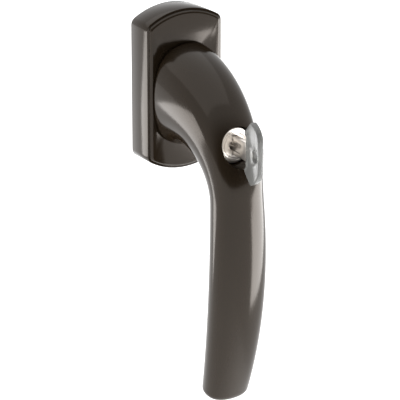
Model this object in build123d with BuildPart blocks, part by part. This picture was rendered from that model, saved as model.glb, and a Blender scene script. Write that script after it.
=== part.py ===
"""Lockable window handle with its rose, spindle, indexing, lock cylinder and key.

The origin is on the spindle's axis in the rose's mounting plane. +X is to the right as seen from the room,
+Y points into the window and +Z is up. The handle is closed: its grip hangs down, and its front faces -Y.
Heights are measured from the mounting plane towards the room, so a height h lies at Y = -h.
"""

import os
from dataclasses import dataclass
from math import cos, pi, radians, sin

from build123d import *

# Rose: a tapered cover with arched ends over a flat base.
rose_width, rose_length, rose_height = 36.0, 69.0, 14.0
rose_arch = 5.6
rose_draft = 4.3
rose_corner_radius = 3.6
rose_edge_radius = 1.2
cover_wall = 1.5
cover_hole_radius = 12.0
base_width, base_length, base_thickness = 31.8, 64.8, 3.5
cup_radius, cup_bore_radius, cup_height = 15.0, 13.4, 10.8
web_height = 1.9
back_recess_radius = 9.8

# Fixing: two screws through hollow lugs, and the square spindle between them.
screw_spacing = 43.0
lug_radius, lug_length, lug_bore_radius = 5.0, 6.0, 2.7
screw_radius, screw_shank_radius, screw_head_radius = 2.5, 2.3, 4.6
screw_length, screw_head_height = 20.0, 2.9
recess_depth, recess_length, recess_width = 1.6, 6.4, 1.0
spindle_size, spindle_reach, spindle_depth = 7.0, 20.0, 26.0
spindle_socket = 7.1
spindle_chamfer = 0.6

# Neck spigot and what turns on it inside the rose.
spigot_radius, spigot_start = 7.0, 0.2
groove_radius, groove_low, groove_high = 6.4, 0.45, 1.3
snap_ring_radius, snap_ring_gap = 9.2, 3.0
washer_radius, washer_low, washer_high = 9.5, 1.35, 1.85
bush_radius = 8.4
running_gap = 0.06
index_height, index_thickness = 6.0, 4.4
index_ring_height = 5.0
index_ring_inner, index_carrier_radius = 11.4, 10.9
ball_radius, ball_seat, ball_notch_radius = 1.5, 9.6, 1.7
pin_radius, pin_length = 1.0, 20.8
index_spring_radius, index_spring_wire = 1.15, 0.4
spring_turns = 4

# Locking collar: fixed to the base, it stands up inside the neck and has a notch at every quarter turn.
collar_flange_low, collar_flange_high = 8.9, 10.6
collar_inner, collar_outer, collar_top = 8.9, 10.4, 19.8
notch_width, notch_floor = 3.3, 16.6
neck_gap = 0.8
neck_start = rose_height + neck_gap
neck_core_radius, neck_recess_radius, neck_recess_top = 8.5, 10.9, 20.3

# Handle body: an elbow and a bowed grip, from oval sections square to one spine.
spine_rise = -1.6
elbow_radius, elbow_turn = 38.5, 85.0
bow_radius, bow_turn = 240.0, 20.7
neck_half_width, waist_half_width, tip_half_width, belly = 16.4, 11.4, 10.4, 1.5
neck_half_depth, waist_half_depth, tip_half_depth, depth_belly = 22.0, 8.6, 7.2, 0.5
neck_fall = 1.42
oval_power = 2.4
neck_edge_radius = 1.2
elbow_shares = (0, 0.14, 0.28, 0.42, 0.56, 0.7, 0.85, 1)
grip_shares = (0.2, 0.4, 0.6, 0.8, 1)
dome_shares = (0.35, 0.65, 0.85, 0.96)
dome_height, dome_power = 4.6, 3.0

# Lock cylinder, square to the rose, in the front of the elbow.
lock_z = -13.9
lock_face = 51.6
head_radius, head_length, head_bore_radius, head_chamfer = 7.6, 8.0, 8.2, 0.5
housing_radius, housing_end = 6.3, 26.6
chamber_low, chamber_high, chamber_width, chamber_reach = 30.0, 47.5, 4.0, 5.8
plug_radius, plug_end = 5.2, 25.0
tail_size = 4.0
clip_low, clip_high, clip_groove_radius, clip_radius, clip_gap = 25.85, 26.35, 4.4, 6.1, 5.0
keyway_width, keyway_height, keyway_end = 2.3, 8.4, 29.5
keyway_round_radius, keyway_round_shift, keyway_round_depth = 2.1, -0.55, 3.0
wafer_count, wafer_pitch, wafer_first, wafer_thickness = 5, 2.6, 46.5, 0.8
wafer_width, wafer_length = 3.6, 9.5
window_width, window_length = 2.3, 8.2
arm_reach, arm_height = 3.1, 1.2
pocket_bottom, pocket_top, pocket_margin = -3.2, 1.0, 0.15
wafer_spring_radius, wafer_spring_wire, wafer_spring_length = 0.45, 0.2, 2.5
set_screw_height, set_screw_radius, set_screw_low, set_screw_high = 38.0, 2.0, -24.2, -19.7
hex_radius, hex_depth = 1.15, 2.0

# Locking bolt: slid towards the spindle by the driver's crank pin.
crank_radius, crank_pin_radius, crank_start, crank_play = 1.6, 0.9, 225.0, 0.12
bolt_low, bolt_high = 16.8, 19.5
bolt_width, bolt_bottom, bolt_shoulder, bolt_tip = 6.4, -18.9, -13.3, -11.2
nose_width = 2.9
guide_top = 19.9
driver_low, driver_floor, driver_high, driver_radius = 20.1, 21.3, 23.4, 5.0
lock_floor = 16.7

# Key: a grooved blade in a thin moulded bow.
blade_width, blade_height, blade_tip = 2.0, 8.0, 30.3
tang_width, tang_height, tang_end = 1.4, 5.0, 65.0
groove_end, tip_chamfer = 57.4, 1.6
bitting_depths, bitting_flat = (0.5, 1.1, 0.8, 1.3, 0.6), 0.7
# Each groove: side of the blade, bottom, top and depth.
blade_grooves = ((-1, 0.2, 2.0, 0.55), (-1, -2.2, -1.0, 0.4), (1, -1.2, 0.2, 0.4))
bow_thickness, bow_half_height = 2.8, 13.4
bow_lobe, bow_near, bow_shoulder, bow_corner, bow_back, bow_far = 60.2, 61.2, 64.6, 68.2, 70.4, 70.8
step_start, lobe_start, lobe_end, lobe_lean = 6.6, 6.7, 9.2, 0.6
corner_height, back_height = 12.0, 6.0
ring_slot_length, ring_slot_width, ring_slot_height = 5.2, 3.0, 68.0

# slip is the gap around a piece that is fitted into another, and through runs a cut clear of a surface.
slip = 0.05
end_gap = 0.1
half = 0.5
small_chamfer = 0.2
through = 12.0


@dataclass
class Station:
    """One oval section of the handle body, square to the spine."""

    forward: float
    up: float
    turn: float
    half_width: float
    half_depth: float


def room_plane(height, x=0.0, z=0.0):
    """A plane parallel to the rose at a height above the mounting plane, facing the room."""
    return Plane(origin=(x, -height, z), x_dir=(1, 0, 0), z_dir=(0, -1, 0))


def disc(height_low, height_high, radius, x=0.0, z=0.0, mode=Mode.ADD):
    """Add or cut a cylinder along the spindle's direction in the current part."""
    with BuildSketch(room_plane(height_low, x, z)) as profile:
        Circle(radius)
    extrude(profile.sketch, amount=height_high - height_low, mode=mode)


def block(height_low, height_high, width, z_low, z_high, x=0.0, mode=Mode.ADD):
    """Add or cut a box between two heights, centred on x, from z_low to z_high."""
    with BuildSketch(room_plane(height_low, x, (z_low + z_high) / 2)) as profile:
        Rectangle(width, z_high - z_low)
    extrude(profile.sketch, amount=height_high - height_low, mode=mode)


def rod(plane, radius, length, mode=Mode.ADD):
    """Add or cut a cylinder from a plane's origin along its normal in the current part."""
    with BuildSketch(plane) as profile:
        Circle(radius)
    extrude(profile.sketch, amount=length, mode=mode)


def arched_face(width, length, arch, corner_radius):
    """A rectangle whose two short ends are arcs, with rounded corners, on the mounting plane."""
    side, end = width / 2, length / 2
    with BuildSketch(room_plane(0)) as profile:
        with BuildLine():
            Line((side, arch - end), (side, end - arch))
            ThreePointArc((side, end - arch), (0, end), (-side, end - arch))
            Line((-side, end - arch), (-side, arch - end))
            ThreePointArc((-side, arch - end), (0, -end), (side, arch - end))
        make_face()
        fillet(profile.vertices(), corner_radius)
    return profile.sketch


def oval_face(station):
    """The station's section: a squarish oval, a superellipse."""
    steps = 24
    points = []
    for i in range(steps):
        angle = 2 * pi * i / steps
        c, s = cos(angle), sin(angle)
        power = (abs(c) ** oval_power + abs(s) ** oval_power) ** (-1 / oval_power)
        points.append((station.half_width * c * power, station.half_depth * s * power))
    with BuildSketch(station_plane(station)) as profile:
        with BuildLine():
            Spline(*points, periodic=True)
        make_face()
    return profile.sketch


def eased(start, end, share):
    """A value that goes from start to end with no slope at either one."""
    return start + (end - start) * share * share * (3 - 2 * share)


def elbow_station(turn):
    """The section where the spine has turned by this many degrees inside the elbow."""
    share = turn / elbow_turn
    forward = neck_start + elbow_radius * sin(radians(turn))
    up = spine_rise - elbow_radius * (1 - cos(radians(turn)))
    half_width = eased(neck_half_width, waist_half_width, share)
    half_depth = waist_half_depth + (neck_half_depth - waist_half_depth) * (1 - share) ** neck_fall
    return Station(forward, up, turn, half_width, half_depth)


def grip_station(share):
    """The section at this share of the way along the bowed grip."""
    start = elbow_station(elbow_turn)
    turn = elbow_turn + bow_turn * share
    forward = start.forward + bow_radius * (sin(radians(turn)) - sin(radians(elbow_turn)))
    up = start.up + bow_radius * (cos(radians(turn)) - cos(radians(elbow_turn)))
    swell = 4 * share * (1 - share)
    half_width = waist_half_width + (tip_half_width - waist_half_width) * share + belly * swell
    half_depth = waist_half_depth + (tip_half_depth - waist_half_depth) * share + depth_belly * swell
    return Station(forward, up, turn, half_width, half_depth)


def dome_station(share):
    """The section at this share of the height of the grip's rounded end."""
    tip = grip_station(1.0)
    size = (1 - share**dome_power) ** (1 / dome_power)
    along = dome_height * share
    forward = tip.forward + along * cos(radians(tip.turn))
    up = tip.up - along * sin(radians(tip.turn))
    return Station(forward, up, tip.turn, tip.half_width * size, tip.half_depth * size)


def station_plane(station):
    """The section's plane: x across the handle, y towards the outside of the bend."""
    c, s = cos(radians(station.turn)), sin(radians(station.turn))
    return Plane(origin=(0, -station.forward, station.up), x_dir=(1, 0, 0), z_dir=(0, -c, -s))


def coil(plane, radius, wire, length, turns):
    """A helical spring as one solid, from the plane's origin along its normal."""
    pitch = (length - 2 * wire) / turns
    with BuildPart() as spring:
        with BuildLine(Plane.XY.offset(wire)) as path:
            Helix(pitch=pitch, height=pitch * turns, radius=radius)
        with BuildSketch(Plane(path.line @ 0, z_dir=path.line % 0)):
            Circle(wire / 2)
        sweep(is_frenet=True)
    return plane.location * spring.part


def save(name, part):
    """Label one finished piece and write its STEP file."""
    part.label = name
    export_step(part, f"parts/{name}.step")


os.makedirs("parts", exist_ok=True)

# ---- Rose ----

with BuildPart() as rose_cover:
    outside = arched_face(rose_width, rose_length, rose_arch, rose_corner_radius)
    extrude(outside, amount=rose_height, taper=rose_draft)
    fillet(rose_cover.faces().sort_by(Axis.Y)[0].edges(), rose_edge_radius)
    inner_width, inner_length = rose_width - 2 * cover_wall, rose_length - 2 * cover_wall
    inside = arched_face(inner_width, inner_length, rose_arch, rose_corner_radius - cover_wall)
    extrude(inside, amount=rose_height - cover_wall, taper=rose_draft, mode=Mode.SUBTRACT)
    disc(0, rose_height, cover_hole_radius, mode=Mode.SUBTRACT)
save("rose_cover", rose_cover.part)

with BuildPart() as rose_base:
    plate = arched_face(base_width, base_length, rose_arch, rose_corner_radius - cover_wall)
    extrude(plate, amount=base_thickness)
    disc(0, cup_height, cup_radius)
    disc(base_thickness, cup_height, cup_bore_radius, mode=Mode.SUBTRACT)
    disc(0, web_height, back_recess_radius, mode=Mode.SUBTRACT)
    disc(0, base_thickness, bush_radius + slip, mode=Mode.SUBTRACT)
    for side in (-1, 1):
        lug_z = side * screw_spacing / 2
        disc(-lug_length, 0, lug_radius, z=lug_z)
        disc(-lug_length, base_thickness, lug_bore_radius, z=lug_z, mode=Mode.SUBTRACT)
save("rose_base", rose_base.part)

with BuildPart() as fixing_screws:
    for side in (-1, 1):
        screw_z = side * screw_spacing / 2
        head_top = base_thickness + screw_head_height
        disc(base_thickness, head_top, screw_head_radius, z=screw_z)
        disc(-lug_length, base_thickness, screw_shank_radius, z=screw_z)
        disc(-screw_length, -lug_length, screw_radius, z=screw_z)
        for width, height in ((recess_length, recess_width), (recess_width, recess_length)):
            z_low, z_high = screw_z - height / 2, screw_z + height / 2
            block(head_top - recess_depth, head_top, width, z_low, z_high, mode=Mode.SUBTRACT)
save("fixing_screws", fixing_screws.part)

with BuildPart() as bearing_bush:
    disc(web_height, base_thickness, bush_radius)
    disc(web_height, base_thickness, spigot_radius + running_gap, mode=Mode.SUBTRACT)
save("bearing_bush", bearing_bush.part)

with BuildPart() as index_ring:
    ring_top = base_thickness + index_ring_height
    disc(base_thickness, ring_top, cup_bore_radius - slip)
    disc(base_thickness, ring_top, index_ring_inner, mode=Mode.SUBTRACT)
    for quarter in range(4):
        notch_x = (index_ring_inner - half) * cos(quarter * pi / 2)
        notch_z = (index_ring_inner - half) * sin(quarter * pi / 2)
        disc(base_thickness, ring_top, ball_notch_radius, notch_x, notch_z, Mode.SUBTRACT)
save("index_ring", index_ring.part)

with BuildPart() as locking_collar:
    disc(collar_flange_low, collar_flange_high, cup_bore_radius - slip)
    disc(collar_flange_low, collar_top, collar_outer)
    disc(collar_flange_low, collar_top, collar_inner, mode=Mode.SUBTRACT)
    for across in (0, 1):
        across_collar = 2 * collar_outer + 2
        notch_x, notch_z = (across_collar, notch_width) if across else (notch_width, across_collar)
        block(notch_floor, collar_top, notch_x, -notch_z / 2, notch_z / 2, mode=Mode.SUBTRACT)
save("locking_collar", locking_collar.part)

# ---- Handle ----

lock_bore_radius = housing_radius + slip
pin_hole = Plane(origin=(0, -index_height, -pin_length / 2 - end_gap), z_dir=(0, 0, 1))
pin_hole_length = pin_length + 2 * end_gap
stations = [elbow_station(elbow_turn * share) for share in elbow_shares]
stations += [grip_station(share) for share in grip_shares]
stations += [dome_station(share) for share in dome_shares]
with BuildPart() as handle_body:
    loft([oval_face(station) for station in stations])
    fillet(handle_body.faces().sort_by(Axis.Y)[-1].edges(), neck_edge_radius)
    disc(neck_start - half, neck_recess_top, neck_recess_radius, mode=Mode.SUBTRACT)
    disc(neck_start, neck_recess_top + half, neck_core_radius)
    disc(spigot_start, groove_low, spigot_radius)
    disc(groove_low, groove_high, groove_radius)
    disc(groove_high, neck_start, spigot_radius)
    side = spindle_socket / 2
    block(spigot_start, spindle_depth + 1, spindle_socket, -side, side, mode=Mode.SUBTRACT)
    disc(lock_floor, lock_face, lock_bore_radius, z=lock_z, mode=Mode.SUBTRACT)
    head_start = lock_face - head_length
    disc(head_start, lock_face + through, head_bore_radius, z=lock_z, mode=Mode.SUBTRACT)
    rod(pin_hole, pin_radius + slip, pin_hole_length, mode=Mode.SUBTRACT)
    spring_hole = Plane(origin=(-neck_core_radius, -index_height, 0), z_dir=(1, 0, 0))
    rod(spring_hole, ball_radius + end_gap, 2 * neck_core_radius, mode=Mode.SUBTRACT)
    screw_hole = Plane(origin=(0, -set_screw_height, set_screw_low - through), z_dir=(0, 0, 1))
    screw_hole_length = set_screw_high - set_screw_low + through
    rod(screw_hole, set_screw_radius + slip, screw_hole_length, mode=Mode.SUBTRACT)
save("handle_body", handle_body.part)

with BuildPart() as spindle:
    side = spindle_size / 2
    block(-spindle_reach, spindle_depth, spindle_size, -side, side)
    ends = spindle.faces().filter_by(Axis.Y).edges()
    chamfer(ends, spindle_chamfer)
    rod(pin_hole, pin_radius + slip, pin_hole_length, mode=Mode.SUBTRACT)
save("spindle", spindle.part)

with BuildPart() as spindle_pin:
    rod(Plane(origin=(0, -index_height, -pin_length / 2), z_dir=(0, 0, 1)), pin_radius, pin_length)
    chamfer(spindle_pin.edges(), small_chamfer)
save("spindle_pin", spindle_pin.part)

carrier_low = index_height - index_thickness / 2
carrier_high = index_height + index_thickness / 2
with BuildPart() as index_carrier:
    disc(carrier_low, carrier_high, index_carrier_radius)
    disc(carrier_low, carrier_high, spigot_radius + slip, mode=Mode.SUBTRACT)
    rod(pin_hole, pin_radius + slip, pin_hole_length, mode=Mode.SUBTRACT)
    carrier_bore = Plane(origin=(-index_carrier_radius, -index_height, 0), z_dir=(1, 0, 0))
    rod(carrier_bore, ball_radius + end_gap, 2 * index_carrier_radius, mode=Mode.SUBTRACT)
save("index_carrier", index_carrier.part)

with BuildPart() as index_balls:
    with Locations((-ball_seat, -index_height, 0), (ball_seat, -index_height, 0)):
        Sphere(ball_radius)
save("index_balls", index_balls.part)

spring_start = spindle_size / 2 + end_gap
spring_length = ball_seat - ball_radius - spring_start
index_springs = Compound(
    children=[
        coil(
            Plane(origin=(side * spring_start, -index_height, 0), z_dir=(side, 0, 0)),
            index_spring_radius,
            index_spring_wire,
            spring_length,
            spring_turns,
        )
        for side in (-1, 1)
    ]
)
save("index_springs", index_springs)

with BuildPart() as snap_ring:
    disc(groove_low + slip, groove_high - slip, snap_ring_radius)
    disc(groove_low + slip, groove_high - slip, groove_radius + slip, mode=Mode.SUBTRACT)
    block(groove_low, groove_high, snap_ring_gap, 0, snap_ring_radius + 1, mode=Mode.SUBTRACT)
save("snap_ring", snap_ring.part)

with BuildPart() as thrust_washer:
    disc(washer_low, washer_high, washer_radius)
    disc(washer_low, washer_high, spigot_radius + running_gap, mode=Mode.SUBTRACT)
save("thrust_washer", thrust_washer.part)

# ---- Lock cylinder ----

with BuildPart() as cylinder_housing:
    disc(housing_end, head_start, housing_radius, z=lock_z)
    disc(head_start, lock_face, head_radius, z=lock_z)
    chamfer(cylinder_housing.faces().sort_by(Axis.Y)[0].edges(), head_chamfer)
    disc(housing_end, lock_face, plug_radius + slip, z=lock_z, mode=Mode.SUBTRACT)
    z_low, z_high = lock_z - chamber_reach, lock_z + chamber_reach
    block(chamber_low, chamber_high, chamber_width, z_low, z_high, mode=Mode.SUBTRACT)
    with BuildSketch(Plane.XY.offset(set_screw_low)) as dimple:
        with Locations((0, -set_screw_height)):
            Circle(set_screw_radius + slip)
    extrude(dimple.sketch, amount=set_screw_high - set_screw_low + end_gap, mode=Mode.SUBTRACT)
save("cylinder_housing", cylinder_housing.part)

with BuildPart() as cylinder_set_screw:
    rod(
        Plane(origin=(0, -set_screw_height, set_screw_low), z_dir=(0, 0, 1)),
        set_screw_radius,
        set_screw_high - set_screw_low,
    )
    with BuildSketch(Plane(origin=(0, -set_screw_height, set_screw_low), z_dir=(0, 0, 1))) as hexagon:
        RegularPolygon(hex_radius, 6)
    extrude(hexagon.sketch, amount=hex_depth, mode=Mode.SUBTRACT)
save("cylinder_set_screw", cylinder_set_screw.part)

wafer_heights = [wafer_first - wafer_pitch * i for i in range(wafer_count)]
arm_length = arm_reach - wafer_width / 2
arm_x = wafer_width / 2 + arm_length / 2
with BuildPart() as cylinder_plug:
    disc(plug_end, lock_face - end_gap, plug_radius, z=lock_z)
    chamfer(cylinder_plug.faces().sort_by(Axis.Y)[0].edges(), small_chamfer)
    disc(clip_low - slip, clip_high + slip, plug_radius + 1, z=lock_z, mode=Mode.SUBTRACT)
    disc(clip_low - slip, clip_high + slip, clip_groove_radius, z=lock_z)
    tail = tail_size / 2
    block(driver_floor + slip, plug_end, tail_size, lock_z - tail, lock_z + tail)
    slot = keyway_height / 2
    block(keyway_end, lock_face, keyway_width, lock_z - slot, lock_z + slot, mode=Mode.SUBTRACT)
    round_low = lock_face - keyway_round_depth
    disc(round_low, lock_face, keyway_round_radius, keyway_round_shift, lock_z, Mode.SUBTRACT)
    for height in wafer_heights:
        low, high = height - slip, height + wafer_thickness + slip
        z_low, z_high = lock_z - plug_radius - 1, lock_z + plug_radius + 1
        block(low, high, wafer_width + 2 * slip, z_low, z_high, mode=Mode.SUBTRACT)
        pocket_width = arm_length + 4 * slip
        z_low, z_high = lock_z + pocket_bottom, lock_z + pocket_top
        low, high = low - pocket_margin, high + pocket_margin
        block(low, high, pocket_width, z_low, z_high, arm_x, Mode.SUBTRACT)
save("cylinder_plug", cylinder_plug.part)

with BuildPart() as wafers:
    for height in wafer_heights:
        top = height + wafer_thickness
        block(height, top, wafer_width, lock_z - wafer_length / 2, lock_z + wafer_length / 2)
        block(height, top, arm_length, lock_z - arm_height / 2, lock_z + arm_height / 2, arm_x)
        window = window_length / 2
        block(height, top, window_width, lock_z - window, lock_z + window, mode=Mode.SUBTRACT)
save("wafers", wafers.part)

wafer_springs = Compound(
    children=[
        coil(
            Plane(
                origin=(arm_x, -(height + wafer_thickness / 2), lock_z + pocket_bottom + slip),
                z_dir=(0, 0, 1),
            ),
            wafer_spring_radius,
            wafer_spring_wire,
            wafer_spring_length,
            spring_turns,
        )
        for height in wafer_heights
    ]
)
save("wafer_springs", wafer_springs)

with BuildPart() as plug_clip:
    disc(clip_low, clip_high, clip_radius, z=lock_z)
    disc(clip_low, clip_high, clip_groove_radius + slip, z=lock_z, mode=Mode.SUBTRACT)
    z_high = lock_z + clip_radius + 1
    block(clip_low, clip_high, clip_gap, lock_z, z_high, mode=Mode.SUBTRACT)
save("plug_clip", plug_clip.part)

crank_x = crank_radius * cos(radians(crank_start))
crank_z = lock_z + crank_radius * sin(radians(crank_start))
with BuildPart() as lock_driver:
    disc(driver_low, driver_high, driver_radius, z=lock_z)
    disc(bolt_low + end_gap, driver_low, crank_pin_radius, crank_x, crank_z)
    socket = tail + slip
    z_low, z_high = lock_z - socket, lock_z + socket
    block(driver_floor, driver_high, 2 * socket, z_low, z_high, mode=Mode.SUBTRACT)
save("lock_driver", lock_driver.part)

with BuildPart() as bolt_guide:
    disc(lock_floor, guide_top, housing_radius, z=lock_z)
    disc(lock_floor, guide_top, neck_recess_radius + end_gap, mode=Mode.SUBTRACT)
    z_low, z_high = bolt_bottom - end_gap, lock_z + housing_radius
    block(lock_floor, guide_top, bolt_width + 2 * end_gap, z_low, z_high, mode=Mode.SUBTRACT)
save("bolt_guide", bolt_guide.part)

slot_left = -crank_radius - crank_pin_radius - 2 * crank_play
slot_right = crank_x + crank_pin_radius + 2 * crank_play
with BuildPart() as locking_bolt:
    block(bolt_low, bolt_high, bolt_width, bolt_bottom, bolt_shoulder)
    block(bolt_low, bolt_high, nose_width, bolt_shoulder, bolt_tip)
    z_low = crank_z - crank_pin_radius - crank_play
    z_high = crank_z + crank_pin_radius + crank_play
    middle = (slot_left + slot_right) / 2
    block(bolt_low, bolt_high, slot_right - slot_left, z_low, z_high, middle, Mode.SUBTRACT)
save("locking_bolt", locking_bolt.part)

# ---- Key ----

with BuildPart() as key_blade:
    edge = blade_height / 2
    block(blade_tip, bow_near, blade_width, lock_z - edge, lock_z + edge)
    tip_edges = key_blade.faces().sort_by(Axis.Y)[-1].edges().filter_by(Axis.X)
    chamfer(tip_edges, tip_chamfer)
    block(bow_near, tang_end, tang_width, lock_z - tang_height / 2, lock_z + tang_height / 2)
    for side, low, high, depth in blade_grooves:
        z_low, z_high = lock_z + low, lock_z + high
        groove_x = side * blade_width / 2
        block(blade_tip, groove_end, 2 * depth, z_low, z_high, groove_x, Mode.SUBTRACT)
    for height, depth in zip(wafer_heights, bitting_depths):
        with BuildSketch(Plane.YZ.offset(-blade_width)) as bitting:
            with Locations((-height - wafer_thickness / 2, lock_z - edge)):
                Trapezoid(4 * depth + bitting_flat, 2 * depth, 45)
        extrude(bitting.sketch, amount=2 * blade_width, mode=Mode.SUBTRACT)
save("key_blade", key_blade.part)

with BuildPart() as key_bow:
    with BuildSketch(Plane.YZ.offset(-bow_thickness / 2)) as bow_side:
        with BuildLine(Location((0, lock_z))):
            for side in (-1, 1):
                step_in, step_out = (-bow_near, side * step_start), (-bow_lobe, side * lobe_start)
                lobe_corner = (-bow_lobe - lobe_lean, side * lobe_end)
                shoulder = (-bow_shoulder, side * bow_half_height)
                outer_corner = (-bow_corner, side * corner_height)
                outer_end = (-bow_back, side * back_height)
                Polyline((-bow_near, 0), step_in, step_out, lobe_corner, shoulder)
                ThreePointArc(shoulder, outer_corner, outer_end)
            ThreePointArc((-bow_back, back_height), (-bow_far, 0), (-bow_back, -back_height))
        make_face()
        with Locations((-ring_slot_height, lock_z)):
            SlotOverall(ring_slot_length, ring_slot_width, rotation=90, mode=Mode.SUBTRACT)
    extrude(bow_side.sketch, amount=bow_thickness)
    z_low, z_high = lock_z - tang_height / 2, lock_z + tang_height / 2
    block(bow_near, tang_end, tang_width, z_low, z_high, mode=Mode.SUBTRACT)
save("key_bow", key_bow.part)
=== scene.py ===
"""Looks of a lockable window handle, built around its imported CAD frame.

Each sub-assembly is a class with its sizes in millimetres as fields. Its pieces are modelled with mesh
operators, take their place from the frame and ride on the frame's bodies. A height is the distance from the
mounting plane towards the room, so a height h lies at y = -h.
"""

import logging
from dataclasses import dataclass, field
from enum import Enum
from math import atan2, cos, degrees, hypot, pi, radians, sin, sqrt
from typing import Callable, Iterable, Sequence

import bmesh
import bpy
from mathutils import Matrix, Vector

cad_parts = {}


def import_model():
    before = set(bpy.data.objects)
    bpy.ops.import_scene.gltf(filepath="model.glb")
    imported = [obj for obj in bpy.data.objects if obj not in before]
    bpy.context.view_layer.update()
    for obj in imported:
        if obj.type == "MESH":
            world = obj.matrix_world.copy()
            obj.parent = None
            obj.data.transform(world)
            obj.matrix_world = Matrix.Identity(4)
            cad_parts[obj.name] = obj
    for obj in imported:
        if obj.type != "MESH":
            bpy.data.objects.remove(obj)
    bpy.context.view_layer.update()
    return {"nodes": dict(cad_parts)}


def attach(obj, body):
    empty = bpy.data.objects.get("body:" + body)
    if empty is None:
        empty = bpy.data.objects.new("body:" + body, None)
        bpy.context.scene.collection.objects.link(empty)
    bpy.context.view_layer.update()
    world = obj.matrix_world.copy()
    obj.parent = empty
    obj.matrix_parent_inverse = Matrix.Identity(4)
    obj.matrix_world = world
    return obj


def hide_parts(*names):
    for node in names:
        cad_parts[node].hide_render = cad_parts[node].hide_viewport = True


log = logging.getLogger("window_handle")
MM = 0.001
Point = tuple[float, float]


class Body(Enum):
    """The rigid bodies of the frame."""

    ROSE = "rose"
    HANDLE = "handle"
    BOLT = "bolt"
    PLUG = "plug"
    KEY = "key"


class Slot(Enum):
    """The material slots of the record."""

    LACQUER = "lacquer"
    ALLOY = "alloy"
    STEEL = "steel"
    NICKEL = "nickel"
    BRASS = "brass"
    NYLON = "nylon"
    CLEAR = "clear_plastic"


# ---- Finishes ----


@dataclass(frozen=True)
class Finish:
    """One surface finish: a principled shader with fine variation in tone, gloss and relief.

    The patterns read object coordinates, so they stay where they are on a piece.
    """

    name: str
    slot: Slot
    colour: tuple[float, float, float]
    second_colour: tuple[float, float, float]
    metallic: float = 0.0
    roughness: tuple[float, float] = (0.3, 0.4)
    coat: float = 0.0
    coat_roughness: float = 0.1
    transmission: float = 0.0
    ior: float = 1.5
    grain_scale: float = 900.0
    grain_stretch: tuple[float, float, float] = (1.0, 1.0, 1.0)
    relief: float = 0.05
    relief_depth: float = 0.00005
    mottle_scale: float = 60.0

    def build(self) -> bpy.types.Material:
        """Make the material.

        Returns:
            The node material for this finish.
        """
        material = bpy.data.materials.new(self.name)
        material.use_nodes = True
        nodes, links = material.node_tree.nodes, material.node_tree.links
        shader = nodes["Principled BSDF"]
        shader.inputs["Metallic"].default_value = self.metallic
        shader.inputs["IOR"].default_value = self.ior
        shader.inputs["Coat Weight"].default_value = self.coat
        shader.inputs["Coat Roughness"].default_value = self.coat_roughness
        shader.inputs["Transmission Weight"].default_value = self.transmission
        place = nodes.new("ShaderNodeTexCoord")
        stretch = nodes.new("ShaderNodeMapping")
        stretch.inputs["Scale"].default_value = self.grain_stretch
        links.new(place.outputs["Object"], stretch.inputs["Vector"])
        mottle = self._noise(nodes, links, stretch, self.mottle_scale, 3.0)
        grain = self._noise(nodes, links, stretch, self.grain_scale, 4.0)
        tone = nodes.new("ShaderNodeMix")
        tone.data_type = "RGBA"
        tone.inputs["A"].default_value = (*self.colour, 1.0)
        tone.inputs["B"].default_value = (*self.second_colour, 1.0)
        links.new(mottle.outputs["Fac"], tone.inputs["Factor"])
        links.new(tone.outputs["Result"], shader.inputs["Base Color"])
        gloss = nodes.new("ShaderNodeMapRange")
        gloss.inputs["To Min"].default_value = self.roughness[0]
        gloss.inputs["To Max"].default_value = self.roughness[1]
        links.new(grain.outputs["Fac"], gloss.inputs["Value"])
        links.new(gloss.outputs["Result"], shader.inputs["Roughness"])
        bump = nodes.new("ShaderNodeBump")
        bump.inputs["Strength"].default_value = self.relief
        bump.inputs["Distance"].default_value = self.relief_depth
        links.new(grain.outputs["Fac"], bump.inputs["Height"])
        links.new(bump.outputs["Normal"], shader.inputs["Normal"])
        return material

    @staticmethod
    def _noise(
        nodes: bpy.types.Nodes,
        links: bpy.types.NodeLinks,
        source: bpy.types.Node,
        scale: float,
        detail: float,
    ) -> bpy.types.Node:
        """Add one noise pattern that reads the stretched coordinates.

        Args:
            nodes: The material's nodes.
            links: The material's links.
            source: The node whose Vector output places the pattern.
            scale: Pattern scale, per metre.
            detail: Octaves of the noise.

        Returns:
            The noise node.
        """
        noise = nodes.new("ShaderNodeTexNoise")
        noise.inputs["Scale"].default_value = scale
        noise.inputs["Detail"].default_value = detail
        links.new(source.outputs["Vector"], noise.inputs["Vector"])
        return noise


LACQUER = Finish(
    name="dark_lacquer",
    slot=Slot.LACQUER,
    colour=(0.021, 0.014, 0.008),
    second_colour=(0.025, 0.017, 0.010),
    metallic=0.35,
    roughness=(0.11, 0.15),
    coat=0.04,
    coat_roughness=0.06,
    ior=1.41,
    grain_scale=1400.0,
    relief=0.06,
)
NICKEL = Finish(
    name="satin_nickel",
    slot=Slot.NICKEL,
    colour=(0.82, 0.77, 0.71),
    second_colour=(0.78, 0.73, 0.67),
    metallic=0.82,
    roughness=(0.26, 0.32),
    grain_scale=2200.0,
    relief=0.03,
)
PLATED_STEEL = Finish(
    name="plated_steel",
    slot=Slot.STEEL,
    colour=(0.62, 0.62, 0.61),
    second_colour=(0.50, 0.50, 0.49),
    metallic=1.0,
    roughness=(0.28, 0.45),
    grain_scale=1500.0,
    grain_stretch=(1.0, 0.15, 1.0),
    relief=0.12,
)
CAST_ALLOY = Finish(
    name="die_cast_alloy",
    slot=Slot.ALLOY,
    colour=(0.55, 0.55, 0.54),
    second_colour=(0.44, 0.44, 0.44),
    metallic=0.9,
    roughness=(0.42, 0.62),
    grain_scale=1100.0,
    relief=0.35,
    relief_depth=0.00012,
)
BRASS = Finish(
    name="stamped_brass",
    slot=Slot.BRASS,
    colour=(0.78, 0.57, 0.26),
    second_colour=(0.66, 0.47, 0.20),
    metallic=1.0,
    roughness=(0.25, 0.4),
)
NYLON = Finish(
    name="moulded_nylon",
    slot=Slot.NYLON,
    colour=(0.78, 0.76, 0.70),
    second_colour=(0.72, 0.70, 0.64),
    roughness=(0.42, 0.55),
    relief=0.15,
)
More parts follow.
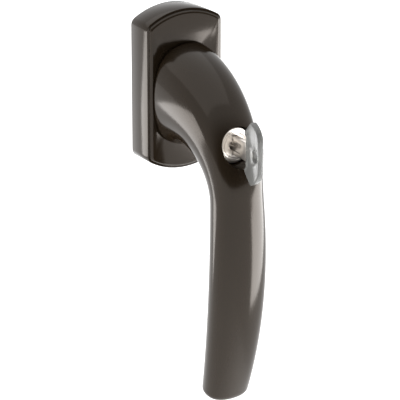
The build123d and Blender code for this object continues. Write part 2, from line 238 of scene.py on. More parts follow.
CLEAR_PLASTIC = Finish(
    name="clear_grey_plastic",
    slot=Slot.CLEAR,
    colour=(0.27, 0.27, 0.26),
    second_colour=(0.24, 0.24, 0.23),
    roughness=(0.16, 0.24),
    transmission=0.45,
    ior=1.49,
    grain_scale=500.0,
    mottle_scale=120.0,
)


class Paint:
    """Makes each finish once and hands out its material."""

    def __init__(self) -> None:
        """Start with no materials made."""
        self._made: dict[str, bpy.types.Material] = {}

    def dress(self, piece: bpy.types.Object, finish: Finish) -> None:
        """Give a piece a finish in its only material slot.

        Args:
            piece: The mesh object to dress.
            finish: The finish it gets.
        """
        if finish.name not in self._made:
            self._made[finish.name] = finish.build()
        piece.data.materials.clear()
        piece.data.materials.append(self._made[finish.name])


# ---- Modelling bench ----


def arc_points(centre: Point, radius: float, start: float, turn: float, steps: int) -> list[Point]:
    """Points along an arc, without its first one.

    Args:
        centre: Centre of the arc.
        radius: Radius of the arc.
        start: Direction of the first point from the centre, in degrees.
        turn: Angle the arc goes through, in degrees, positive from the first axis to the second.
        steps: Number of points returned.

    Returns:
        The points after the first one, up to the end of the arc.
    """
    angles = [radians(start + turn * (i + 1) / steps) for i in range(steps)]
    return [(centre[0] + radius * cos(a), centre[1] + radius * sin(a)) for a in angles]


class Bench:
    """Operator steps that every piece is modelled with."""

    @staticmethod
    def clear() -> None:
        """Leave edit mode and deselect everything."""
        if bpy.context.object is not None and bpy.context.object.mode != "OBJECT":
            bpy.ops.object.mode_set(mode="OBJECT")
        bpy.ops.object.select_all(action="DESELECT")

    @staticmethod
    def edit() -> None:
        """Go into edit mode on the active object."""
        bpy.ops.object.mode_set(mode="EDIT")

    @staticmethod
    def only(piece: bpy.types.Object) -> None:
        """Make one object the selected and active one, in object mode.

        Args:
            piece: The object.
        """
        Bench.clear()
        piece.select_set(True)
        bpy.context.view_layer.objects.active = piece

    @staticmethod
    def pick_faces(test: Callable[[Vector, Vector], bool]) -> int:
        """Select the faces of the mesh being edited that pass a test, and no others.

        Args:
            test: Takes a face's centre in metres and its normal.

        Returns:
            The number of faces selected.
        """
        bpy.ops.mesh.select_mode(type="FACE")
        mesh = bpy.context.object.data
        faces = bmesh.from_edit_mesh(mesh).faces
        for face in faces:
            face.select_set(test(face.calc_center_median(), face.normal))
        bmesh.update_edit_mesh(mesh)
        return sum(face.select for face in faces)

    @staticmethod
    def pick_verts(test: Callable[[Vector], bool]) -> None:
        """Select the vertices of the mesh being edited that pass a test, and no others.

        Args:
            test: Takes a vertex's place in metres.
        """
        bpy.ops.mesh.select_mode(type="VERT")
        mesh = bpy.context.object.data
        shape = bmesh.from_edit_mesh(mesh)
        for vert in shape.verts:
            vert.select_set(test(vert.co))
        shape.select_flush_mode()
        bmesh.update_edit_mesh(mesh)

    @staticmethod
    def trace(name: str, points: Sequence[Point], place: Callable[[Point], Vector]) -> bpy.types.Object:
        """Draw a closed outline by extruding one vertex from point to point, and fill it with a face.

        Args:
            name: Name of the new object.
            points: Corners of the outline, in millimetres.
            place: Turns an outline point into a place in metres.

        Returns:
            The object, left in edit mode with its face selected.
        """
        Bench.clear()
        bpy.ops.mesh.primitive_plane_add(size=MM)
        piece = bpy.context.object
        piece.name = name
        Bench.edit()
        bpy.ops.mesh.select_mode(type="VERT")
        bpy.ops.mesh.select_all(action="SELECT")
        bpy.ops.mesh.merge(type="CENTER")
        spots = [place(p) for p in points]
        bpy.ops.transform.translate(value=spots[0])
        for here, there in zip(spots, spots[1:]):
            bpy.ops.mesh.extrude_region_move(TRANSFORM_OT_translate={"value": there - here})
        bpy.ops.mesh.select_all(action="SELECT")
        bpy.ops.mesh.edge_face_add()
        bpy.ops.mesh.select_mode(type="FACE")
        return piece

    @staticmethod
    def push(distance: Vector) -> None:
        """Extrude the selected faces along a vector.

        Args:
            distance: The move in metres.
        """
        bpy.ops.mesh.extrude_region_move(TRANSFORM_OT_translate={"value": distance})

    @staticmethod
    def close_solid() -> None:
        """Turn every face of the mesh being edited outwards, and leave edit mode.

        A cutter needs this: with its faces inwards a cut can do nothing, and gives no error.
        """
        Bench.edit()
        bpy.ops.mesh.select_all(action="SELECT")
        bpy.ops.mesh.normals_make_consistent(inside=False)
        Bench.clear()

    @staticmethod
    def turned(
        name: str, profile: Sequence[Point], x: float = 0.0, z: float = 0.0, steps: int = 96
    ) -> bpy.types.Object:
        """Turn a closed solid from steps of (height, radius) along the spindle's direction.

        A cylinder primitive gives the first step. Its room-side face is then extruded and resized for each
        further one.

        Args:
            name: Name of the new object.
            profile: Pairs of height and radius in millimetres, from low to high.
            x: Place of the axis across, in millimetres.
            z: Place of the axis up, in millimetres.
            steps: Sides of the circle.

        Returns:
            The object, in object mode.
        """
        Bench.clear()
        (low, radius), (high, top_radius) = profile[0], profile[1]
        bpy.ops.mesh.primitive_cylinder_add(
            vertices=steps,
            radius=radius * MM,
            depth=(high - low) * MM,
            location=(x * MM, -(low + high) / 2 * MM, z * MM),
            rotation=(pi / 2, 0.0, 0.0),
        )
        piece = bpy.context.object
        piece.name = name
        bpy.ops.object.transform_apply(location=True, rotation=True, scale=True)
        Bench.edit()
        before, height = radius, high
        steps_left = [(high, top_radius), *profile[2:]]
        Bench.pick_faces(lambda c, n, h=high: n.y < -0.9 and abs(c.y + h * MM) < 1e-6)
        for index, (height_to, radius_to) in enumerate(steps_left):
            if height_to != height:
                Bench.push(Vector((0.0, -(height_to - height) * MM, 0.0)))
                height = height_to
            elif index and radius_to != before:
                Bench.push(Vector((0.0, 0.0, 0.0)))
            if radius_to != before:
                share = radius_to / before
                middle = (x * MM, -height * MM, z * MM)
                bpy.ops.transform.resize(value=(share, 1.0, share), center_override=middle)
                before = radius_to
        Bench.clear()
        return piece

    @staticmethod
    def block(
        name: str, low: float, high: float, width: float, bottom: float, top: float, x: float = 0.0
    ) -> bpy.types.Object:
        """Add a box between two heights, for use as a cutter.

        Args:
            name: Name of the new object.
            low: Height where it starts, in millimetres.
            high: Height where it ends.
            width: Its size across.
            bottom: Its lowest place up the handle.
            top: Its highest place up the handle.
            x: Place of its middle across.

        Returns:
            The object, in object mode.
        """
        Bench.clear()
        middle = Vector((x, -(low + high) / 2, (bottom + top) / 2)) * MM
        bpy.ops.mesh.primitive_cube_add(size=MM, location=middle)
        piece = bpy.context.object
        piece.name = name
        piece.scale = (width, high - low, top - bottom)
        bpy.ops.object.transform_apply(location=True, rotation=True, scale=True)
        return piece

    @staticmethod
    def carve(piece: bpy.types.Object, *tools: bpy.types.Object, join: bool = False) -> None:
        """Cut tools out of a piece, or join them to it, and remove them.

        Args:
            piece: The object that is shaped.
            tools: The objects to cut or join.
            join: True to join in place of cutting.
        """
        for tool in tools:
            Bench.only(piece)
            cut = piece.modifiers.new("cut", "BOOLEAN")
            cut.operation = "UNION" if join else "DIFFERENCE"
            cut.solver = "EXACT"
            cut.object = tool
            bpy.ops.object.modifier_apply(modifier=cut.name)
            bpy.data.objects.remove(tool)

    @staticmethod
    def soften(piece: bpy.types.Object, width: float, angle: float = 40.0, segments: int = 2) -> None:
        """Round every edge that is sharper than an angle.

        Args:
            piece: The object.
            width: Width of the rounding in millimetres.
            angle: Edges below this angle are left, in degrees.
            segments: Facets across the rounding.
        """
        Bench.only(piece)
        bevel = piece.modifiers.new("soften", "BEVEL")
        bevel.width = width * MM
        bevel.segments = segments
        bevel.limit_method = "ANGLE"
        bevel.angle_limit = radians(angle)
        bevel.miter_outer = "MITER_ARC"
        bpy.ops.object.modifier_apply(modifier=bevel.name)

    @staticmethod
    def refine(piece: bpy.types.Object, levels: int) -> None:
        """Apply a subdivision surface.

        Args:
            piece: The object.
            levels: Number of subdivisions.
        """
        Bench.only(piece)
        smooth = piece.modifiers.new("refine", "SUBSURF")
        smooth.levels = levels
        smooth.render_levels = levels
        bpy.ops.object.modifier_apply(modifier=smooth.name)

    @staticmethod
    def finish(piece: bpy.types.Object, smooth_angle: float = 32.0) -> bpy.types.Object:
        """Merge doubles, turn the faces outwards, smooth the shading and put the origin at the frame's.

        Args:
            piece: The object.
            smooth_angle: Edges sharper than this stay crisp, in degrees.

        Returns:
            The same object, finished.
        """
        Bench.only(piece)
        Bench.edit()
        bpy.ops.mesh.select_all(action="SELECT")
        bpy.ops.mesh.remove_doubles(threshold=1e-7)
        bpy.ops.mesh.normals_make_consistent(inside=False)
        Bench.only(piece)
        bpy.ops.object.transform_apply(location=True, rotation=True, scale=True)
        bpy.ops.object.shade_smooth_by_angle(angle=radians(smooth_angle))
        Bench.clear()
        return piece


def front_place(point: Point) -> Vector:
    """A place on the mounting plane from an outline point seen from the room (across, up)."""
    return Vector((point[0], 0.0, point[1])) * MM


# ---- Sub-assemblies ----


@dataclass
class SubAssembly:
    """What every sub-assembly shares: the paint, and the record of its pieces."""

    paint: Paint
    made: list[bpy.types.Object] = field(default_factory=list)

    def deliver(
        self, piece: bpy.types.Object, body: Body, finish: Finish, nodes: Iterable[str]
    ) -> bpy.types.Object:
        """Dress a finished piece, put it on its body and let it stand for CAD nodes.

        Args:
            piece: The finished mesh object.
            body: The body it rides on.
            finish: Its finish.
            nodes: Names of the CAD nodes it stands for.

        Returns:
            The piece.
        """
        self.paint.dress(piece, finish)
        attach(piece, body.value)
        names = list(nodes)
        if names:
            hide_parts(*names)
        self.made.append(piece)
        log.info("%s rides on %s, %d faces", piece.name, body.value, len(piece.data.polygons))
        return piece


@dataclass
class Rose(SubAssembly):
    """The cover on the window: a drafted shell with arched ends and a rounded front edge."""

    half_width: float = 18.0
    half_length: float = 34.5
    arch: float = 5.6
    corner_radius: float = 3.6
    height: float = 14.0
    draft: float = 4.3
    edge_radius: float = 1.2
    wall: float = 1.5
    hole_radius: float = 12.0
    edge_steps: int = 6

    def outline(self) -> list[Point]:
        """Return the rim's outline on the mounting plane, seen from the room."""
        arch_radius = (self.half_width**2 + self.arch**2) / (2 * self.arch)
        arch_middle = self.half_length - arch_radius
        corner_x = self.half_width - self.corner_radius
        rise = sqrt((arch_radius - self.corner_radius) ** 2 - corner_x**2)
        corner_z = arch_middle + rise
        lean = degrees(atan2(rise, corner_x))
        top = [(self.half_width, corner_z)]
        top += arc_points((corner_x, corner_z), self.corner_radius, 0.0, lean, 10)
        top += arc_points((0.0, arch_middle), arch_radius, lean, 180.0 - 2 * lean, 44)
        top += arc_points((-corner_x, corner_z), self.corner_radius, 180.0 - lean, lean, 10)
        return top + [(-x, -z) for x, z in top]

    def cover(self) -> bpy.types.Object:
        """Model the cover.

        Returns:
            The finished cover.
        """
        piece = Bench.trace("rose_shell", self.outline(), front_place)
        slope = sin(radians(self.draft)) / cos(radians(self.draft))
        straight = self.height - self.edge_radius
        bpy.ops.mesh.normals_make_consistent(inside=False)
        if Bench.pick_faces(lambda c, n: n.y > 0.5):
            bpy.ops.mesh.flip_normals()
        bpy.ops.mesh.select_all(action="SELECT")
        Bench.push(Vector((0.0, -straight * MM, 0.0)))
        self._inset(straight * slope, 0.0)
        done_in, done_up = 0.0, 0.0
        for step in range(1, self.edge_steps + 1):
            angle = pi / 2 * step / self.edge_steps
            inward = self.edge_radius * (1 - cos(angle))
            up = self.edge_radius * sin(angle)
            self._inset(inward - done_in, up - done_up)
            done_in, done_up = inward, up
        Bench.clear()
        inner = self._hollow()
        hole = Bench.turned("rose_hole", [(-1.0, self.hole_radius), (self.height + 1.0, self.hole_radius)])
        Bench.carve(piece, inner, hole)
        Bench.soften(piece, 0.12, angle=50.0)
        return Bench.finish(piece, smooth_angle=28.0)

    @staticmethod
    def _inset(inward: float, up: float) -> None:
        """Draw the selected face in and lift it, in millimetres, leaving a wall behind it."""
        bpy.ops.mesh.inset(thickness=inward * MM, depth=up * MM, use_even_offset=True)

    def _hollow(self) -> bpy.types.Object:
        """Return the block that the cover's inside is cut with."""
        share_x = (self.half_width - self.wall - 0.5) / self.half_width
        share_z = (self.half_length - self.wall - 0.5) / self.half_length
        points = [(x * share_x, z * share_z) for x, z in self.outline()]
        tool = Bench.trace("rose_hollow", points, front_place)
        bpy.ops.transform.translate(value=(0.0, MM, 0.0))
        Bench.push(Vector((0.0, -(self.height - self.wall + 1.0) * MM, 0.0)))
        Bench.close_solid()
        return tool

    def build(self) -> None:
        """Build and deliver the cover."""
        self.deliver(self.cover(), Body.ROSE, LACQUER, ["rose_cover"])


@dataclass(frozen=True)
class Station:
    """One oval section of the handle, square to its spine, in millimetres and degrees."""

    forward: float
    up: float
    turn: float
    half_width: float
    half_depth: float


@dataclass
class Handle(SubAssembly):
    """The casting: a broad neck that bends at once into a bowed oval grip, with the lock's counterbore."""

    start: float = 14.8
    spine_rise: float = -1.6
    elbow_radius: float = 38.5
    elbow_turn: float = 85.0
    bow_radius: float = 240.0
    bow_turn: float = 20.7
    neck: Point = (16.4, 22.0)
    waist: Point = (11.4, 8.6)
    tip: Point = (10.4, 7.2)
    belly: Point = (1.5, 0.5)
    neck_fall: float = 1.42
    neck_edge: float = 1.2
    dome_height: float = 4.6
    dome_power: float = 3.0
    lock_z: float = -13.9
    lock_bore: Point = (16.7, 6.35)
    counterbore: Point = (43.6, 8.2)
    mouth_reach: float = 26.0
    recess: Point = (20.3, 10.9)
    core_radius: float = 8.5
    spigot_radius: float = 7.0
    spigot_start: float = 0.2
    groove_radius: float = 6.4
    groove_heights: Point = (0.45, 1.3)
    spindle_socket: float = 7.1
    set_screw: Point = (38.0, 2.05)
    set_screw_length: float = 18.0
    set_screw_middle: float = -28.7
    skin: float = 0.03

    # Corners of an eight-sided cage whose smoothed form is a squarish oval with half axes of 1.
    cage_axis: float = 1.0721
    cage_corner: float = 1.2102

    def elbow(self, share: float) -> Station:
        """Return the section at a share of the elbow's turn."""
        turn = self.elbow_turn * share
        forward = self.start + self.elbow_radius * sin(radians(turn))
        up = self.spine_rise - self.elbow_radius * (1 - cos(radians(turn)))
        ease = share * share * (3 - 2 * share)
        width = self.neck[0] + (self.waist[0] - self.neck[0]) * ease
        depth = self.waist[1] + (self.neck[1] - self.waist[1]) * (1 - share) ** self.neck_fall
        return Station(forward, up, turn, width, depth)

    def grip(self, share: float) -> Station:
        """Return the section at a share of the grip's length."""
        end = self.elbow(1.0)
        turn = self.elbow_turn + self.bow_turn * share
        forward = end.forward + self.bow_radius * (sin(radians(turn)) - sin(radians(self.elbow_turn)))
        up = end.up + self.bow_radius * (cos(radians(turn)) - cos(radians(self.elbow_turn)))
        swell = 4 * share * (1 - share)
        width = self.waist[0] + (self.tip[0] - self.waist[0]) * share + self.belly[0] * swell
        depth = self.waist[1] + (self.tip[1] - self.waist[1]) * share + self.belly[1] * swell
        return Station(forward, up, turn, width, depth)

    def dome(self, share: float) -> Station:
        """Return the section at a share of the rounded end's height."""
        end = self.grip(1.0)
        size = (1 - share**self.dome_power) ** (1 / self.dome_power)
        along = self.dome_height * share
        forward = end.forward + along * cos(radians(end.turn))
        up = end.up - along * sin(radians(end.turn))
        return Station(forward, up, end.turn, end.half_width * size, end.half_depth * size)

    def stations(self) -> list[Station]:
        """Return every section of the cage, from the neck's foot to the grip's end."""
        foot = self.elbow(0.0)
        edge = self.neck_edge
        sections = [
            Station(foot.forward + lift, foot.up, 0.0, foot.half_width - inward, foot.half_depth - inward)
            for lift, inward in ((0.0, edge * 1.6), (0.05, edge * 0.7), (0.16, edge * 0.12))
        ]
        near = (0.012, 0.03, 0.055)
        sections += [self.elbow(share) for share in near]
        sections += [self.elbow(0.055 + 0.945 * i / 17) for i in range(1, 18)]
        sections += [self.grip(share / 12) for share in range(1, 12)]
        sections += [self.grip(share) for share in (0.965, 1.0)]
        sections += [self.dome(share) for share in (0.25, 0.5, 0.72, 0.88, 0.965, 0.995)]
        return sections

    def casting(self) -> bpy.types.Object:
        """Model the visible casting: ring after ring along the spine, bridged, smoothed and bored.

        Returns:
            The finished casting.
        """
        Bench.clear()
        bpy.ops.mesh.primitive_circle_add(vertices=8, radius=self.cage_axis * MM)
        piece = bpy.context.object
        piece.name = "handle_casting"
        Bench.edit()
        limit = 0.1 * self.cage_axis * MM
        Bench.pick_verts(lambda co: abs(co.x) > limit and abs(co.y) > limit)
        share = self.cage_corner / self.cage_axis
        bpy.ops.transform.resize(value=(share, share, 1.0), center_override=(0.0, 0.0, 0.0))
        far = 1.0
        bpy.ops.mesh.select_all(action="SELECT")
        bpy.ops.transform.translate(value=(far, 0.0, 0.0))
        for station in self.stations():
            self._lay_ring(station, far)
        Bench.pick_verts(lambda co: co.x > far / 2)
        bpy.ops.mesh.delete(type="VERT")
        bpy.ops.mesh.select_all(action="SELECT")
        bpy.ops.mesh.bridge_edge_loops()
        self._cap_ends()
        Bench.refine(piece, 3)
        self._bore(piece)
        return Bench.finish(piece, smooth_angle=30.0)

    def _lay_ring(self, station: Station, far: float) -> None:
        """Copy the parked ring, size it, turn it square to the spine and move it to its section.

        Args:
            station: The section.
            far: Where the parked ring waits, in metres along x.
        """
        origin = (0.0, 0.0, 0.0)
        Bench.pick_verts(lambda co: co.x > far / 2)
        bpy.ops.mesh.duplicate()
        bpy.ops.transform.translate(value=(-far, 0.0, 0.0))
        size = (station.half_width - self.skin, station.half_depth - self.skin, 1.0)
        bpy.ops.transform.resize(value=size, center_override=origin)
        bpy.ops.transform.rotate(
            value=-radians(90.0 + station.turn), orient_axis="X", center_override=origin
        )
        bpy.ops.transform.translate(value=(0.0, -station.forward * MM, station.up * MM))

    @staticmethod
    def _cap_ends() -> None:
        """Close the two open ends of the cage with a small inset face each."""
        bpy.ops.mesh.select_all(action="DESELECT")
        bpy.ops.mesh.select_mode(type="EDGE")
        bpy.ops.mesh.select_non_manifold()
        bpy.ops.mesh.edge_face_add()
        bpy.ops.mesh.select_mode(type="FACE")
        mesh = bpy.context.object.data
        for face in bmesh.from_edit_mesh(mesh).faces:
            face.select_set(len(face.verts) > 4)
        bmesh.update_edit_mesh(mesh)
        bpy.ops.mesh.inset(thickness=0.8 * MM, use_individual=True)
        bpy.ops.mesh.select_all(action="SELECT")
        bpy.ops.mesh.normals_make_consistent(inside=False)

    def _bore(self, piece: bpy.types.Object) -> None:
        """Cut the recess for the collar, the stepped lock bore and the set screw's hole.

        Args:
            piece: The smoothed casting.
        """
        floor, radius = self.recess
        recess = Bench.turned("neck_recess", [(self.start - 3.0, radius), (floor, radius)])
        bore_start, bore_radius = self.lock_bore
        shelf, mouth_radius = self.counterbore
        steps = [(bore_start, bore_radius), (shelf, bore_radius), (shelf, mouth_radius)]
        lock = Bench.turned("lock_bore", [*steps, (shelf + self.mouth_reach, mouth_radius)], z=self.lock_z)
        height, screw_radius = self.set_screw
        Bench.clear()
        bpy.ops.mesh.primitive_cylinder_add(
            vertices=48,
            radius=screw_radius * MM,
            depth=self.set_screw_length * MM,
            location=(0.0, -height * MM, self.set_screw_middle * MM),
        )
        screw = bpy.context.object
        bpy.ops.object.transform_apply(location=True, rotation=True, scale=True)
        Bench.carve(piece, recess, lock, screw)
        Bench.soften(piece, 0.28, angle=38.0, segments=3)

    def spigot(self) -> bpy.types.Object:
        """Model the neck's core and the spigot that turns in the rose, with its socket and groove.

        Returns:
            The finished spigot.
        """
        top = self.recess[0]
        low, high = self.groove_heights
        steps = [
            (self.spigot_start, self.spigot_radius),
            (low, self.spigot_radius),
            (low, self.groove_radius),
            (high, self.groove_radius),
            (high, self.spigot_radius),
            (self.start, self.spigot_radius),
            (self.start, self.core_radius),
            (top + 0.2, self.core_radius),
        ]
        piece = Bench.turned("neck_spigot", steps)
        side = self.spindle_socket / 2
        socket = Bench.block("socket", self.spigot_start - 1, top + 1, self.spindle_socket, -side, side)
        Bench.carve(piece, socket)
        Bench.soften(piece, 0.1, angle=50.0)
        return Bench.finish(piece)

    def build(self) -> None:
        """Build and deliver the casting and its spigot."""
        self.deliver(self.casting(), Body.HANDLE, LACQUER, ["handle_body"])
        self.deliver(self.spigot(), Body.HANDLE, CAST_ALLOY, [])


@dataclass
class LockCylinder(SubAssembly):
    """The lock's nickel face: a rimmed housing and the plug with its keyway."""

    axis_z: float = -13.9
    face: float = 51.6
    head_radius: float = 7.6
    head_length: float = 8.0
    body_radius: float = 6.3
    body_end: float = 26.6
    plug_radius: float = 5.2
    plug_gap: float = 0.06
    plug_edge: float = 0.2
    plug_end: float = 25.0
    keyway_width: float = 2.3
    keyway_height: float = 8.4
    keyway_end: float = 29.5
    round_radius: float = 2.1
    round_shift: float = -0.55
    round_depth: float = 3.0
    drive_end: float = 21.35
    drive_square: float = 4.0

    def housing(self) -> bpy.types.Object:
        """Model the housing with its rounded rim and a fine turned line inside it.

        Returns:
            The finished housing.
        """
        shelf = self.face - self.head_length
        steps = [
            (self.body_end, self.body_radius),
            (shelf, self.body_radius),
            (shelf, self.head_radius),
            (self.face - 0.55, self.head_radius),
            (self.face - 0.2, self.head_radius - 0.12),
            (self.face - 0.03, self.head_radius - 0.4),
            (self.face, self.head_radius - 0.75),
            (self.face, self.head_radius - 1.15),
            (self.face - 0.12, self.head_radius - 1.25),
            (self.face - 0.12, self.head_radius - 1.45),
            (self.face, self.head_radius - 1.55),
            (self.face, self.head_radius - 1.7),
        ]
        piece = Bench.turned("lock_housing", steps, z=self.axis_z)
        inner = self.plug_radius + self.plug_gap
        tool = Bench.turned("plug_bore", [(self.body_end - 1, inner), (self.face + 1, inner)], z=self.axis_z)
        Bench.carve(piece, tool)
        Bench.soften(piece, 0.08, angle=60.0)
        return Bench.finish(piece, smooth_angle=25.0)

    def plug(self) -> bpy.types.Object:
        """Model the plug: a turned cylinder with the keyway, its round mouth and the drive square.

        Returns:
            The finished plug.
        """
        top = self.face - 0.1
        steps = [
            (self.plug_end, self.plug_radius),
            (top - self.plug_edge, self.plug_radius),
            (top, self.plug_radius - self.plug_edge),
        ]
        piece = Bench.turned("lock_plug", steps, z=self.axis_z)
        side = self.keyway_height / 2
        low, high = self.axis_z - side, self.axis_z + side
        slot = Bench.block("keyway", self.keyway_end, self.face + 1, self.keyway_width, low, high)
        mouth = Bench.turned(
            "keyway_mouth",
            [(self.face - self.round_depth, self.round_radius), (self.face + 1, self.round_radius)],
            x=self.round_shift,
            z=self.axis_z,
            steps=64,
        )
        Bench.carve(piece, slot, mouth)
        low, high = self.axis_z - self.drive_square / 2, self.axis_z + self.drive_square / 2
        tail = Bench.block("drive_square", self.drive_end, self.plug_end + 0.5, self.drive_square, low, high)
        Bench.carve(piece, tail, join=True)
        Bench.soften(piece, 0.12, angle=50.0)
        return Bench.finish(piece, smooth_angle=25.0)

    def build(self) -> None:
        """Build and deliver the housing and the plug."""
        self.deliver(self.housing(), Body.HANDLE, NICKEL, ["cylinder_housing"])
        self.deliver(self.plug(), Body.PLUG, NICKEL, ["cylinder_plug"])


@dataclass
class Key(SubAssembly):
    """The key: a milled blade in a thin translucent bow with a slot for a ring."""

    axis_z: float = -13.9
    blade_width: float = 2.0
    blade_half_height: float = 4.0
    blade_tip: float = 30.3
    groove_end: float = 57.4
    bow_near: float = 61.2
    tang_end: float = 65.0
    tang_width: float = 1.4
    tang_half_height: float = 2.5
    bow_thickness: float = 2.8
    slot_height: float = 68.0
    slot_half_length: float = 2.6
    slot_radius: float = 1.5
    # Each groove: side of the blade, bottom, top and depth.
    grooves: tuple[tuple[float, float, float, float], ...] = (
        (-1.0, 0.2, 2.0, 0.55),
        (-1.0, -2.2, -1.0, 0.4),
        (1.0, -1.2, 0.2, 0.4),
    )
    cut_heights: tuple[float, ...] = (46.9, 44.3, 41.7, 39.1, 36.5)
    cut_depths: tuple[float, ...] = (0.5, 1.1, 0.8, 1.3, 0.6)

    def blade(self) -> bpy.types.Object:
        """Model the blade: a chamfered bar, bitted along its lower edge and milled along its sides.

        Returns:
            The finished blade.
        """
        low, high = self.axis_z - self.blade_half_height, self.axis_z + self.blade_half_height
        points = [(self.bow_near, low), (self.bow_near, high), (self.blade_tip + 1.6, high)]
        points += [(self.blade_tip, high - 1.6), (self.blade_tip, low + 1.6), (self.blade_tip + 1.6, low)]
        for height, depth in zip(reversed(self.cut_heights), reversed(self.cut_depths)):
            points += [(height - depth - 0.35, low), (height - 0.35, low + depth)]
            points += [(height + 0.35, low + depth), (height + depth + 0.35, low)]
        piece = Bench.trace("key_blade_milled", points, self._side_place(-self.blade_width / 2))
        Bench.push(Vector((self.blade_width * MM, 0.0, 0.0)))
        Bench.clear()
        for side, bottom, top, depth in self.grooves:
            Bench.carve(piece, self._groove(side, bottom, top, depth))
        low, high = self.axis_z - self.tang_half_height, self.axis_z + self.tang_half_height
        tang = Bench.block("tang", self.bow_near - 0.2, self.tang_end, self.tang_width, low, high)
        Bench.carve(piece, tang, join=True)
        Bench.soften(piece, 0.1, angle=40.0)
        return Bench.finish(piece, smooth_angle=25.0)

    def _groove(self, side: float, bottom: float, top: float, depth: float) -> bpy.types.Object:
        """Return a cutter for one milled groove, which runs out in the cutter wheel's curve.

        Args:
            side: -1 for the left face of the blade, 1 for the right one.
            bottom: Lower edge of the groove from the key's axis.
            top: Upper edge of the groove.
            depth: Depth of the groove.
        """
        surface = self.blade_width / 2
        wheel, clear = 9.0, 0.3
        reach = sqrt(wheel**2 - (wheel - depth) ** 2)
        start = self.blade_tip - 1.0
        bed = surface - depth
        outline = [(start, surface + clear), (start, bed), (self.groove_end - reach, bed)]
        centre = (self.groove_end - reach, bed + wheel)
        outline += arc_points(centre, wheel, -90.0, degrees(atan2(reach, wheel - depth)), 8)
        outline += [(self.groove_end, surface + clear)]
        height = (top - bottom) * MM
        base = (self.axis_z + bottom) * MM

        def place(point: Point) -> Vector:
            """Put a point of the groove's plan on its side of the blade."""
            return Vector((side * point[1] * MM, -point[0] * MM, base))

        tool = Bench.trace("groove", outline, place)
        Bench.push(Vector((0.0, 0.0, height)))
        Bench.close_solid()
        return tool

    @staticmethod
    def _side_place(x: float) -> Callable[[Point], Vector]:
        """Return a function that puts a (height, up) point on a plane across the key at x."""
        return lambda point: Vector((x, -point[0], point[1])) * MM

    def bow_outline(self) -> list[Point]:
        """Return the bow's outline as (height, up), from its blade side round its outer end."""
        upper = [(61.2, 0.0), (61.2, 6.6), (60.2, 6.75), (60.25, 8.6), (60.8, 9.2), (64.6, 13.4)]
        middle = (62.2, 5.35)
        radius = hypot(64.6 - middle[0], 13.4 - middle[1])
        start = degrees(atan2(13.4 - middle[1], 64.6 - middle[0]))
        end = degrees(atan2(6.0 - middle[1], 70.4 - middle[0]))
        upper += arc_points(middle, radius, start, end - start, 10)
        upper += [(70.65, 3.6), (70.75, 1.8)]
        lower = [(height, -up) for height, up in reversed(upper[1:])]
        return [(height, self.axis_z + up) for height, up in [*upper, (70.78, 0.0), *lower]]

    def bow(self) -> bpy.types.Object:
        """Model the bow: its outline given its thickness, slotted and with rounded rims.

        Returns:
            The finished bow.
        """
        half = self.bow_thickness / 2
        piece = Bench.trace("key_bow_moulded", self.bow_outline(), self._side_place(-half))
        Bench.push(Vector((self.bow_thickness * MM, 0.0, 0.0)))
        Bench.close_solid()
        straight = self.slot_half_length - self.slot_radius
        ring = arc_points((self.slot_height, straight), self.slot_radius, 0.0, 180.0, 14)
        ring += arc_points((self.slot_height, -straight), self.slot_radius, 180.0, 180.0, 14)
        points = [(height, self.axis_z + up) for height, up in ring]
        slot = Bench.trace("ring_slot", points, self._side_place(-half - 1.0))
        Bench.push(Vector(((self.bow_thickness + 2.0) * MM, 0.0, 0.0)))
        Bench.close_solid()
        Bench.carve(piece, slot)
        Bench.soften(piece, 0.55, angle=55.0, segments=4)
        return Bench.finish(piece, smooth_angle=35.0)

    def build(self) -> None:
        """Build and deliver the blade and the bow."""
        self.deliver(self.blade(), Body.KEY, NICKEL, ["key_blade"])
        self.deliver(self.bow(), Body.KEY, CLEAR_PLASTIC, ["key_bow"])


@dataclass
class Works:
    """The CAD nodes that stay as they are and only get a finish."""

    paint: Paint
    finishes: dict[str, Finish] = field(
        default_factory=lambda: {
            "rose_base": CAST_ALLOY,
            "fixing_screws": PLATED_STEEL,
            "bearing_bush": NYLON,
            "index_ring": NYLON,
            "locking_collar": PLATED_STEEL,
            "spindle": PLATED_STEEL,
            "spindle_pin": PLATED_STEEL,
            "index_carrier": NYLON,
            "index_balls": PLATED_STEEL,
            "index_springs": PLATED_STEEL,
            "snap_ring": PLATED_STEEL,
            "thrust_washer": NYLON,
            "bolt_guide": NYLON,
            "cylinder_set_screw": PLATED_STEEL,
            "locking_bolt": PLATED_STEEL,
            "wafers": BRASS,
            "wafer_springs": PLATED_STEEL,
            "plug_clip": PLATED_STEEL,
            "lock_driver": PLATED_STEEL,
            "rose_cover": LACQUER,
            "handle_body": LACQUER,
            "cylinder_housing": NICKEL,
            "cylinder_plug": NICKEL,
            "key_blade": NICKEL,
            "key_bow": CLEAR_PLASTIC,
        }
    )

    def dress(self, nodes: dict[str, bpy.types.Object]) -> None:
        """Give every CAD node its finish.

        Args:
            nodes: The frame's nodes by name.
        """
        for name, node in nodes.items():
            self.paint.dress(node, self.finishes[name])
            log.info("%s is dressed as %s", name, self.finishes[name].name)


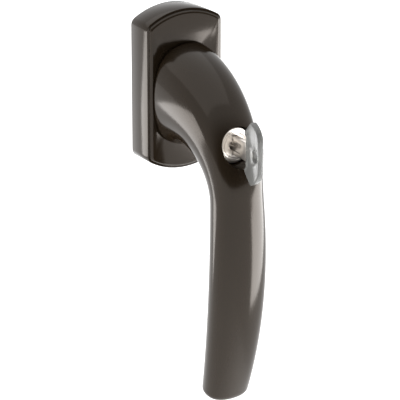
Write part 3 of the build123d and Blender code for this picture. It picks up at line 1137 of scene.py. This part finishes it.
@dataclass
class Studio:
    """A pale floor, soft lights and the camera."""

    azimuth: float = -32.3
    elevation: float = 20.0
    distance: float = 1000.0
    lens: float = 215.7
    target: tuple[float, float, float] = (0.0, -30.0, -44.0)
    slide: Point = (-2.72, -0.2)
    floor_z: float = -0.55
    ambient: float = 0.9
    # Direction the surrounding white brightens in, and how far it goes from dim to bright.
    bright_side: tuple[float, float, float] = (0.0, 1.0, 0.8)
    fade: Point = (-0.45, 0.15)
    dim_and_bright: Point = (0.05, 1.1)
    seen_white: float = 1.15
    # Each lamp: name, place and size in metres, and power in watts.
    lamps: tuple[tuple[str, tuple[float, float, float], Point, float], ...] = (
        ("left_strip", (-0.56, 0.32, -0.14), (0.14, 0.56), 1.5),
        ("right_softbox", (0.55, -0.27, -0.20), (0.27, 0.66), 4.8),
        ("overhead", (-0.1, 0.1, 0.9), (1.8, 1.4), 4.5),
    )

    def floor(self) -> None:
        """Lay the pale floor."""
        Bench.clear()
        bpy.ops.mesh.primitive_plane_add(size=12.0, location=(0.0, 0.0, self.floor_z))
        floor = bpy.context.object
        floor.name = "studio_floor"
        material = bpy.data.materials.new("pale_floor")
        material.use_nodes = True
        shader = material.node_tree.nodes["Principled BSDF"]
        shader.inputs["Base Color"].default_value = (0.93, 0.93, 0.93, 1.0)
        shader.inputs["Roughness"].default_value = 0.9
        shader.inputs["Emission Color"].default_value = (1.0, 1.0, 1.0, 1.0)
        shader.inputs["Emission Strength"].default_value = 0.75
        floor.data.materials.append(material)

    def world(self) -> None:
        """Surround the handle with white, dimmer low on the side of the room."""
        world = bpy.data.worlds.new("studio_white")
        bpy.context.scene.world = world
        world.use_nodes = True
        nodes, links = world.node_tree.nodes, world.node_tree.links
        background = nodes["Background"]
        background.inputs["Strength"].default_value = self.ambient
        place = nodes.new("ShaderNodeTexCoord")
        bright_side = nodes.new("ShaderNodeVectorMath")
        bright_side.operation = "DOT_PRODUCT"
        bright_side.inputs[1].default_value = self.bright_side
        links.new(place.outputs["Generated"], bright_side.inputs[0])
        ramp = nodes.new("ShaderNodeMapRange")
        ramp.inputs["From Min"].default_value, ramp.inputs["From Max"].default_value = self.fade
        ramp.inputs["To Min"].default_value, ramp.inputs["To Max"].default_value = self.dim_and_bright
        ramp.interpolation_type = "SMOOTHSTEP"
        links.new(bright_side.outputs["Value"], ramp.inputs["Value"])
        seen = nodes.new("ShaderNodeLightPath")
        pick = nodes.new("ShaderNodeMix")
        pick.data_type = "FLOAT"
        pick.inputs["B"].default_value = self.seen_white
        links.new(seen.outputs["Is Camera Ray"], pick.inputs["Factor"])
        links.new(ramp.outputs["Result"], pick.inputs["A"])
        links.new(pick.outputs["Result"], background.inputs["Color"])

    def lamp(self, name: str, place: Vector, size: Point, power: float) -> None:
        """Hang one soft rectangular light that faces the handle.

        Args:
            name: Name of the light.
            place: Its middle, in metres.
            size: Its width and height, in metres.
            power: Its power in watts.
        """
        Bench.clear()
        bpy.ops.object.light_add(type="AREA", location=place)
        lamp = bpy.context.object
        lamp.name = name
        lamp.data.shape = "RECTANGLE"
        lamp.data.size, lamp.data.size_y = size
        lamp.data.energy = power
        aim = Vector(self.target) * MM - place
        lamp.rotation_euler = aim.to_track_quat("-Z", "Z").to_euler()
        lamp.visible_camera = False

    def camera(self) -> None:
        """Set up the long-lens camera."""
        a, e = radians(self.azimuth), radians(self.elevation)
        back = Vector((sin(a) * cos(e), -cos(a) * cos(e), sin(e)))
        right = Vector((cos(a), sin(a), 0.0))
        up = back.cross(right)
        aim = (Vector(self.target) + right * self.slide[0] + up * self.slide[1]) * MM
        Bench.clear()
        bpy.ops.object.camera_add(location=aim + back * self.distance * MM)
        camera = bpy.context.object
        camera.name = "studio_camera"
        camera.rotation_euler = (-back).to_track_quat("-Z", "Y").to_euler()
        camera.data.lens = self.lens
        camera.data.clip_start, camera.data.clip_end = 0.05, 30.0
        bpy.context.scene.camera = camera

    def build(self) -> None:
        """Build the whole studio."""
        bpy.context.scene.view_settings.view_transform = "Standard"
        self.camera()
        self.floor()
        self.world()
        for name, place, size, power in self.lamps:
            self.lamp(name, Vector(place), size, power)


def main() -> None:
    """Load the frame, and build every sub-assembly and the studio."""
    logging.basicConfig(level=logging.INFO, format="%(name)s: %(message)s")
    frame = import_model()
    paint = Paint()
    Works(paint).dress(frame["nodes"])
    assemblies: list[SubAssembly] = [Rose(paint), Handle(paint), LockCylinder(paint), Key(paint)]
    for assembly in assemblies:
        assembly.build()
    Studio().build()


if __name__ == "__main__":
    main()
